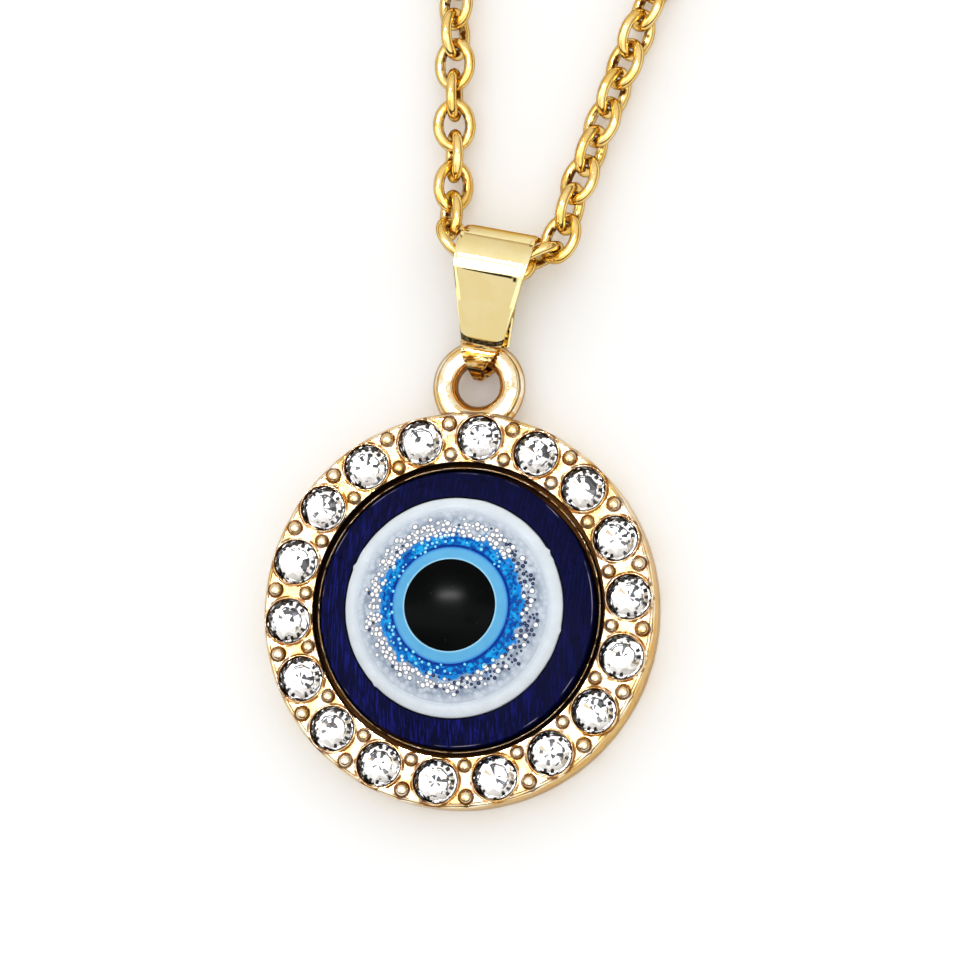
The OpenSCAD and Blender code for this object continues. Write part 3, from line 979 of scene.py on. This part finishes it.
# Geometry Nodes.
class Recipe(Tree):
    """A Geometry Nodes tree that is being written, with named inputs."""

    def __init__(self, name, *floats, **kinds):
        self.group = bpy.data.node_groups.new(name, "GeometryNodeTree")
        super().__init__(self.group.nodes, self.group.links)
        self.group.interface.new_socket("Geometry", in_out="OUTPUT", socket_type="NodeSocketGeometry")
        self.keys = {}
        for label, kind in {"Geometry": "Geometry", **dict.fromkeys(floats, "Float"), **kinds}.items():
            kind = "NodeSocket" + kind
            made = self.group.interface.new_socket(label, in_out="INPUT", socket_type=kind)
            self.keys[label] = made.identifier
        self.source = self.nodes.new("NodeGroupInput")

    def given(self, label):
        return Wire(self, self.source.outputs[label])

    def position(self):
        return self.node("GeometryNodeInputPosition")

    def circle(self, steps, r):
        return self.node("GeometryNodeCurvePrimitiveCircle", None, {"Resolution": steps, "Radius": r})

    def random(self, seed, low=0.0):
        """A random value of each point, from low to 1."""
        sockets = {2: low, 3: 1.0, "Seed": seed}
        return self.node("FunctionNodeRandomValue", {"data_type": "FLOAT"}, sockets, 1)

    def mark(self, geometry, name, value):
        """Keeps a value of each point under a name, for the finish."""
        settings = {"data_type": "FLOAT", "domain": "POINT"}
        sockets = {"Geometry": geometry, "Name": name, "Value": value}
        return self.node("GeometryNodeStoreNamedAttribute", settings, sockets)

    def finish(self, **placing):
        """Ends the tree with an instance on each point, made real and given the finish."""
        instances = self.node("GeometryNodeInstanceOnPoints", None, placing)
        real = self.node("GeometryNodeRealizeInstances", None, {0: instances})
        sockets = {"Geometry": real, "Material": self.given("Finish")}
        dressed = self.node("GeometryNodeSetMaterial", None, sockets)
        self.plug(self.nodes.new("NodeGroupOutput").inputs[0], dressed)
        return self

    def bake(self, name, start, **values):
        """Runs the tree on a mesh and keeps the result as a plain piece."""
        holder = placed(name + "_start", start)
        modifier = holder.modifiers.new("recipe", "NODES")
        modifier.node_group = self.group
        for label, value in values.items():
            modifier[self.keys[label.replace("_", " ")]] = value
        ready = holder.evaluated_get(bpy.context.evaluated_depsgraph_get())
        mesh = bpy.data.meshes.new_from_object(ready)
        mesh.name = name
        bpy.data.objects.remove(holder)
        return placed(name, mesh)


def link_recipe():
    """An oval link of round wire on every point, turned as the point's own attribute says."""
    floats = ("Half Length", "Half Width", "Wire")
    recipe = Recipe("links", *floats, Steps="Int", Sides="Int", Finish="Material")
    half_length, half_width = recipe.given("Half Length"), recipe.given("Half Width")
    halves = recipe.node("ShaderNodeCombineXYZ", None, {0: half_length, 1: half_width})
    stretched = recipe.vector("MULTIPLY", recipe.position(), halves)
    ring = recipe.circle(recipe.given("Steps"), 1.0)
    oval = recipe.node("GeometryNodeSetPosition", None, {"Geometry": ring, "Position": stretched})
    wire = recipe.circle(recipe.given("Sides"), recipe.given("Wire") * 0.5)
    swept = recipe.node("GeometryNodeCurveToMesh", None, {0: oval, 1: wire})
    x, y = recipe.parts(recipe.vector("DIVIDE", recipe.position(), halves))[:2]
    link = recipe.mark(swept, "inner", recipe.step(length_of(x, y), 0.86, 0.74))
    settings = {"data_type": "FLOAT_VECTOR"}
    angles = recipe.node("GeometryNodeInputNamedAttribute", settings, {"Name": "turn"})
    turn = recipe.node("FunctionNodeEulerToRotation", None, {0: angles})
    return recipe.finish(Points=recipe.given("Geometry"), Instance=link, Rotation=turn)


def flake_recipe():
    """Round flakes scattered over a ring of the eye: silver ones crowd one side, dark ones the other, as
    painted glints and painted shade of foil lit from one side.
    """
    floats = ("Density", "Spacing", "Largest", "Reach", "Dark Share")
    recipe = Recipe("flakes", *floats, Seed="Int", Finish="Material")
    spot = recipe.vector("MULTIPLY", recipe.position(), (1 / MM,) * 3)
    x, y = recipe.parts(spot)[:2]
    x = x - eye_x
    r = length_of(x, y)
    clump = recipe.node("ShaderNodeTexNoise", None, {"Vector": spot, "Scale": 1.3, "Detail": 2.0})
    reach = recipe.given("Reach")
    scatter = recipe.node("GeometryNodeDistributePointsOnFaces", {"distribute_method": "POISSON"}, {
        "Mesh": recipe.given("Geometry"), "Distance Min": recipe.given("Spacing"),
        "Density Max": recipe.given("Density"), "Seed": recipe.given("Seed"),
        "Density Factor": recipe.step(r + 1.1 * clump, reach + 0.75, reach + 0.35),
    })
    turn = Wire(recipe, scatter.socket.node.outputs["Rotation"])
    # Painted light: on the dark side, more flakes are painted dark.
    dark_side = (x * math.cos(dark_turn) + y * math.sin(dark_turn)) / r
    share = recipe.given("Dark Share") + 0.62 * recipe.step(dark_side + clump - 0.5, 0.1, 0.65)
    tone = recipe.random(3).math("LESS_THAN", share)
    sizes = {"Vertices": 10, "Radius": 1.0, "Depth": 0.12}
    disc = recipe.node("GeometryNodeMeshCylinder", {"fill_type": "TRIANGLE_FAN"}, sizes)
    edge = recipe.step(recipe.vector("LENGTH", recipe.position(), out=1), 0, 1)
    flake = recipe.mark(disc, "edge", edge)
    points = recipe.mark(scatter, "tone", tone)
    size = recipe.given("Largest") * recipe.random(8, 0.55) * (1 - 0.34 * tone)
    return recipe.finish(Points=points, Instance=flake, Rotation=turn, Scale=size)


def make_flakes():
    """Glitter on the grey ring and in the halo, each half sunk in its resin."""
    recipe = flake_recipe()
    foil = flake_foil()
    field = bpy.data.objects["grey_glitter_ring"].data
    halo = bpy.data.objects["blue_halo"].data
    grey = recipe.bake(
        "silver_flakes", field, Density=34 / MM ** 2, Spacing=0.19 * MM, Largest=0.19 * MM,
        Reach=halo_out + 0.95, Dark_Share=0.1, Seed=4, Finish=foil,
    )
    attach(grey, "root")
    blue = recipe.bake(
        "halo_flakes", halo, Density=20 / MM ** 2, Spacing=0.17 * MM, Largest=0.13 * MM,
        Reach=halo_out + 2, Dark_Share=0.4, Seed=9, Finish=foil,
    )
    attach(blue, "root")


# The bail: one sheet bent round the chain and hooked round the eyelet.
hook_gap = 0.09
hook_r = hook_in_r + bail_sheet
bail_r = bail_d / 2
hook_y = eyelet_y + eyelet_r - (hook_in_r - eyelet_wire / 2 - hook_gap)
bail_rise = bail_r - hook_r
bail_up = Vector((math.sqrt(bail_reach ** 2 - bail_rise ** 2), bail_rise))
bail_slope = math.degrees(math.atan2(bail_up.y, bail_up.x))
bail_swing = math.degrees(math.asin((bail_r - hook_r * leaf_aim) / bail_reach))
bail_leave = 90 + bail_swing - leaf_bite
leaf_top = bail_up.x + bail_r * math.cos(math.radians(bail_slope + bail_leave))
leaf_foot = hook_r * math.cos(math.radians(bail_slope + hook_turn))
end_steps = 120
hook_steps = 64
leaf_steps = [i / 14 for i in range(1, 14)] + [0.955, 0.975, 0.985, 0.992]
# The sheet's bevelled edge, and the strip beside it that slopes down to it.
bail_bevel = 0.09
strip_w = 0.24
strip_sink = 0.05

# Half outline of the bail: share of the way up from its tip, and share of its half width.
bail_outline = [
    (-0.02, 0.09), (0, 0.11), (0.06, 0.26), (0.12, 0.4), (0.23, 0.53),
    (0.45, 0.75), (0.67, 0.95), (0.79, 1), (0.89, 1), (1.01, 0.95),
]


def bail_half(along, height):
    """Half width of the bail at a place, softened where the outline turns and narrower low down."""
    reach = bail_reach + bail_r + hook_r
    total = 0
    for shift in (-0.03, -0.015, 0, 0.015, 0.03):
        share = min(1.005, max(-0.01, (along + hook_r) / reach + shift))
        for (s0, w0), (s1, w1) in zip(bail_outline, bail_outline[1:]):
            if s0 <= share <= s1:
                total += w0 + (w1 - w0) * (share - s0) / (s1 - s0)
                break
    low = bail_back_w / bail_w + (1 - bail_back_w / bail_w) * min(1, (height + hook_r) / bail_r)
    return bail_w / 2 * min(total / 5, low)


def bail_line(end_r, hook_round):
    """Side view of one skin of the sheet, from the front leaf over the round end and the hook."""
    top = arc(bail_up, end_r, bail_slope + bail_leave, bail_slope - bail_leave, end_steps)
    bottom = arc((0, 0), hook_round, bail_slope - hook_turn, bail_slope + hook_turn - 360, hook_steps)
    back = [Vector(top[-1]).lerp(Vector(bottom[0]), share) for share in leaf_steps]
    front = [Vector(bottom[-1]).lerp(Vector(top[0]), share) for share in leaf_steps]
    return top + back + bottom + front


def bail_section(half):
    """Points round the sheet where it is half wide to each side: across, and in from its outer skin."""
    count = 12
    skin_half = half - min(strip_w, half * 0.3)
    spread = [-1] + [0.96 * (2 * i / count - 1) for i in range(count + 1)] + [1]
    skin = [(skin_half * share, 0) for share in spread]
    bevel = half - bail_bevel
    fall = bail_bevel - strip_sink
    right = [(bevel + bail_bevel * math.sin(a), strip_sink + fall * (1 - math.cos(a))) for a in (0, 0.5, 1)]
    right += [(half, bail_bevel), (half, bail_sheet - bail_bevel), (bevel, bail_sheet)]
    return skin + right + [(-x, depth) for x, depth in reversed(right)]


def make_bail():
    lean = Matrix.Rotation(math.radians(-bail_lean), 3, "Z")
    rows = []
    for outer, inner in zip(bail_line(bail_r, hook_r), bail_line(bail_r - bail_sheet, hook_in_r)):
        outer, inner = Vector(outer), Vector(inner)
        row = []
        for x, depth in bail_section(bail_half(outer.x, outer.y)):
            spot = outer.lerp(inner, depth / bail_sheet)
            row.append(lean @ Vector((x, spot.x, spot.y)) + Vector((0, hook_y, eyelet_z)))
        rows.append(row)
    shape = Shape()
    shape.loft(rows + rows[:1])
    stands_for(shape.made("bent_bail", [bail_gold], sharp=12), "bail_gold", "bail")


# The chain. Its route, from the clasp down the left strand, through the bail and up the right strand.
lying_z = 0.96
route = [
    (3, 184.5, 1.19), (-2, 184.3, 1.19), (-8, 183.2, 1.19), (-16, 179.8, lying_z), (-30, 168, lying_z),
    (-37.5, 149, lying_z), (-35, 125, lying_z), (-25, 99, lying_z), (-14, 74, lying_z),
    (-6.6, 53, lying_z), (-3.6, 40, 1.05), (-3.03, 33.3, 1.2), (-2.75, 29, 1.21),
    (-2.42, 24.8, 1.2), (-2.38, 22.6, 1.41), (-1.86, 20.96, 1.99), (-0.42, 19.93, 1.82),
    (1.27, 19.53, 1.87), (3.14, 20.32, 1.49), (3.94, 21.11, 1.48), (4.58, 23.76, 1.41),
    (5.35, 26.5, 1.2), (6.4, 29.9, 1.2), (7.45, 33.3, 1.2), (9.7, 40, 1.05),
    (14.4, 53, lying_z), (22.5, 74, lying_z), (33, 99, lying_z), (42, 125, lying_z),
    (44, 149, lying_z), (36.5, 168, lying_z), (22, 179.8, lying_z), (14, 183.2, 1.19),
    (8, 184.3, 1.19), (3, 184.5, 1.19),
]
route_middle = 17
route_cuts = 14
middle_roll = 21
rolls_left = [-45, 54, -55, 36, -66, 12, 90, -11, 66, -33]
rolls_right = [84, -21, 70, -26, 65, -30, 61, -30, 52, -42]
rolls_clasp = [78, -12, 66, -30]
rest_roll = 45
link_reach = (link_len - link_wire) / 2
# Links that the photo shows, and how finely these and the others are made: steps round, and wire sides.
near_links = 15
near_detail = (40, 16)
far_detail = (14, 6)


def curve_point(a, b, c, d, t):
    """A point of the smooth curve between b and c."""
    bend = 2 * a - 5 * b + 4 * c - d
    twist = 3 * b - a - 3 * c + d
    return 0.5 * (2 * b + (c - a) * t + bend * t ** 2 + twist * t ** 3)


class Route:
    """The chain's line, measured along its length."""

    def __init__(self, points):
        knots = [Vector(point) for point in points]
        last = len(knots) - 1
        self.path = []
        for k in range(last * route_cuts + 1):
            i = min(k // route_cuts, last - 1)
            before = knots[i - 1] if i else knots[last - 1]
            after = knots[i + 2] if i + 2 <= last else knots[1]
            self.path.append(curve_point(before, knots[i], knots[i + 1], after, k / route_cuts - i))
        self.walked = [0]
        for here, there in zip(self.path, self.path[1:]):
            self.walked.append(self.walked[-1] + (there - here).length)

    def at(self, s):
        for k in range(len(self.path) - 1):
            if s <= self.walked[k + 1]:
                share = (s - self.walked[k]) / (self.walked[k + 1] - self.walked[k])
                return self.path[k].lerp(self.path[k + 1], share)
        return self.path[-1]

    def way(self, s):
        return (self.at(s + link_wire / 2) - self.at(s - link_wire / 2)).normalized()

    def chord(self, s, t):
        """Distance between two hooked links across the bend between them."""
        bend = math.acos(min(1, self.way(s).dot(self.way(t))))
        return 2 * link_reach * math.cos(bend / 2) - link_wire - link_slack

    def next(self, s, side):
        t = s + side * (2 * link_reach - link_wire - link_slack)
        near = s + side * self.chord(s, t)
        return s + side * self.chord(s, near) * abs(near - s) / (self.at(near) - self.at(s)).length

    def places(self, side):
        middle = self.walked[route_middle * route_cuts]
        room = (middle if side < 0 else self.walked[-1] - middle) - clasp_room / 2
        found = []
        s = self.next(middle, side)
        while abs(s - middle) < room:
            found.append(s)
            s = self.next(s, side)
        return found


def roll_of(k, count, rolls):
    if k < len(rolls):
        return rolls[k]
    if count - 1 - k < len(rolls_clasp):
        return rolls_clasp[count - 1 - k] * (-1 if count % 2 == 0 else 1)
    return rest_roll * (1 if k % 2 == 0 else -1)


def link_points(name, line, links):
    """A mesh of loose points, one for each link, with the angles that it is turned by."""
    mesh = bpy.data.meshes.new(name)
    mesh.from_pydata([line.at(s) * MM for s, side, roll in links], [], [])
    turns = mesh.attributes.new("turn", "FLOAT_VECTOR", "POINT")
    for spot, (s, side, roll) in zip(turns.data, links):
        t = side * line.way(s)
        spot.vector = (math.radians(roll), -math.asin(t.z), math.atan2(t.y, t.x))
    return mesh


def make_chain():
    """Each strand has finely made links where the photo shows it, and plainer ones further off."""
    line = Route(route)
    recipe = link_recipe()
    middle = (line.walked[route_middle * route_cuts], -1, middle_roll)
    for side, name, rolls, first in ((-1, "left", rolls_left, [middle]), (1, "right", rolls_right, [])):
        found = line.places(side)
        links = [(s, side, roll_of(k, len(found), rolls)) for k, s in enumerate(found)]
        near = ("near", first + links[:near_links], near_detail)
        far = ("far", links[near_links:], far_detail)
        for part, chosen, (steps, sides) in (near, far):
            label = f"{name}_strand_{part}"
            piece = recipe.bake(
                label, link_points(label, line, chosen), Half_Length=link_reach * MM,
                Half_Width=(link_w - link_wire) / 2 * MM, Wire=link_wire * MM, Steps=steps, Sides=sides,
                Finish=chain_gold,
            )
            piece.data.shade_smooth()
            stands_for(piece, "chain_gold", "chain_" + name)
    make_clasp(line)


# The clasp, which the photo doesn't show: a small eye and a closed ring with one thick side.
clasp_wire = 0.8
clasp_back = 2.3
clasp_slack = 0.2
clasp_eye_r = 1
clasp_body_r = 1.45
clasp_back_share = 0.8
clasp_merge = 0.4
clasp_sides = 16
back_sides = 28
back_bevel_w = 0.15


def ring_round(spot, out, r, sides):
    """Points round a place, in the upright plane that holds the level direction out."""
    return [spot + x * out + Vector((0, 0, z)) for x, z in arc((0, 0), r, 0, 360, sides)[:-1]]


def wire_loop(shape, line):
    """A closed loop of the clasp's wire along points that lie in one level plane."""
    rows = []
    for i, spot in enumerate(line):
        ahead = line[(i + 1) % len(line)] - line[i - 1]
        out = Vector((ahead.y, -ahead.x, 0)).normalized()
        rows.append(ring_round(spot, out, clasp_wire / 2, clasp_sides))
    shape.loft(rows + rows[:1])


def make_clasp(line):
    left = line.at(line.places(-1)[-1])
    right = line.at(line.places(1)[-1])
    hook = link_reach - (link_wire + clasp_wire) / 2 - clasp_slack
    away = Vector((right.x - left.x, right.y - left.y, 0))
    span = away.length - 2 * hook
    ahead = away.normalized()
    side = Vector((-ahead.y, ahead.x, 0))
    start = Vector((left.x, left.y, clasp_back / 2 + 0.02)) + hook * ahead
    straight = span - 2 * clasp_eye_r + clasp_wire * clasp_merge - 2 * clasp_body_r

    def laid(points, middle):
        return [start + (middle + x) * ahead + y * side for x, y in points]

    shape = Shape()
    wire_loop(shape, laid(arc((0, 0), clasp_eye_r, 0, 360, 36)[:-1], clasp_eye_r))
    middle = span - clasp_body_r - straight / 2
    body = arc((straight / 2, 0), clasp_body_r, -90, 90, 18)
    body += arc((-straight / 2, 0), clasp_body_r, 90, 270, 18)
    wire_loop(shape, laid(body, middle))
    thick = clasp_back / 2
    long = straight * clasp_back_share / 2
    half = [(0, -long), (thick * 0.8, -long), (thick, back_bevel_w - long)]
    rows = []
    for r, x in half + [(r, -x) for r, x in reversed(half)]:
        spot = laid([(x, clasp_body_r + clasp_wire / 4)], middle)[0]
        rows.append(ring_round(spot, side, r, back_sides if r else 1))
    shape.loft(rows)
    stands_for(shape.made("plain_clasp", [chain_gold], sharp=40), "chain_gold", "clasp")


cast_gold, side_gold, bail_gold, chain_gold = make_golds()
make_setting()
make_stones()
make_eye()
make_flakes()
make_bail()
make_chain()


# Stage, light and camera.
def make_floor():
    white = (0.985, 0.985, 0.985, 1)
    finish = Finish("floor_white", Base_Color=white, Roughness=0.9, Specular_IOR_Level=0)
    half = floor_w / 2
    corners = [(-half, -half, 0), (half, -half, 0), (half, half, 0), (-half, half, 0)]
    mesh = bpy.data.meshes.new("floor")
    mesh.from_pydata([Vector(corner) * MM for corner in corners], [], [(0, 1, 2, 3)])
    mesh.materials.append(finish.material)
    placed("floor", mesh)


# Brightness of the tent that the metal mirrors, by the angle forward (minus) or back from overhead.
tent_tones = [
    (-90, 0.3), (-86, 0.12), (-78, 0.12), (-64, 0.12), (-60, 0.87), (-30, 0.95), (-24, 1.2), (-18, 1.2),
    (12, 1.12), (24, 1.08), (60, 0.88), (88, 0.8), (90, 0.8),
]


# The lamp overhead and its small hot core: brightness, and the angles right and back that each spans.
lamp_glow, lamp_right, lamp_back = 1.7, (-60, 46), (-17, 6.5)
core_glow, core_right, core_back = 118, (-15, -7), (15, 16.4)
# The tent's dimmer light is warm in the metal, and stones see a brighter tent than the metal does.
warm = (1, 0.74, 0.38, 1)
stone_glow = 1.4


def make_studio():
    """A white tent with a wide lamp overhead. Metal and stones mirror their own parts of it."""
    world = bpy.data.worlds.new("studio")
    bpy.context.scene.world = world
    world.use_nodes = True
    tree = Tree(world.node_tree.nodes, world.node_tree.links)
    way = tree.node("ShaderNodeTexCoord", None, None, "Generated")
    x, y, z = tree.parts(way)
    right = x.math("ARCTAN2", z) * (180 / math.pi)
    back = y.math("ARCTAN2", z) * (180 / math.pi)
    stops = [((angle + 90) / 180, (tone / 2, tone / 2, tone / 2, 1)) for angle, tone in tent_tones]
    wall = 2 * tree.node("ShaderNodeValToRGB", {"stops": stops}, {0: (back + 90) / 180})
    pale_sides = tree.step((right + 30).math("ABSOLUTE"), 18, 26) * tree.band(back, -64, -24, 3)
    dark_seams = tree.band((right + 7).math("ABSOLUTE"), 59, 64, 2) * tree.band(back, -50, 50, 5)
    wall = wall * (1 + 0.6 * pale_sides) * (1 - 0.65 * dark_seams) * (1 - 0.3 * tree.line(back, 10.5, 1.4))
    wall = wall * (1 - 0.65 * tree.step(right, 62, 72)) * (1 - 0.4 * tree.step(right, -70, -80))
    lamp = tree.band(right, *lamp_right, 4) * tree.band(back, *lamp_back, 4)
    core = tree.band(right, *core_right, 12) * tree.band(back, *core_back, 3)
    horizon = 0.7 + 0.3 * tree.step(z, 0.02, 0.2)
    lens = 1 - 0.85 * tree.step(tree.vector("DISTANCE", way, camera_from, out=1), 0.085, 0.06)
    mirrored = (wall * horizon + lamp_glow * lamp + core_glow * core) * lens
    sparkle = stone_glow - 0.3 * tree.step(z, 0.7, 0.3)
    soft = 1.08 + 0.24 * y + 0.08 * x

    path = tree.node("ShaderNodeLightPath").socket.node.outputs
    in_stone = Wire(tree, path["Is Transmission Ray"])
    glossy = Wire(tree, path["Is Glossy Ray"])
    seen = Wire(tree, path["Is Camera Ray"])
    light = soft + glossy * (mirrored - soft) + in_stone * (sparkle - soft)
    light = light + seen * (1 - light)
    colour = tree.mix(glossy * tree.step(mirrored, 1.15, 0.25), (1, 1, 1, 1), warm)
    lit = tree.node("ShaderNodeBackground", None, {"Strength": light, "Color": colour})
    tree.plug(tree.nodes["World Output"].inputs["Surface"], lit)


def make_camera():
    data = bpy.data.cameras.new("camera")
    data.lens = camera_lens
    data.sensor_width = camera_sensor
    data.clip_start = 0.01
    data.clip_end = 20
    camera = placed("camera", data)
    back = Vector(camera_from).normalized()
    right = Vector((0, 1, 0)).cross(back).normalized()
    turn = Matrix.Rotation(math.radians(camera_roll), 3, back)
    axes = Matrix((turn @ right, turn @ back.cross(right), back)).transposed()
    spot = (Vector(camera_aim) + back * camera_distance) * MM
    camera.matrix_world = Matrix.Translation(spot) @ axes.to_4x4()
    bpy.context.scene.camera = camera


make_floor()
make_studio()
make_camera()
bpy.context.scene.view_settings.view_transform = "Standard"
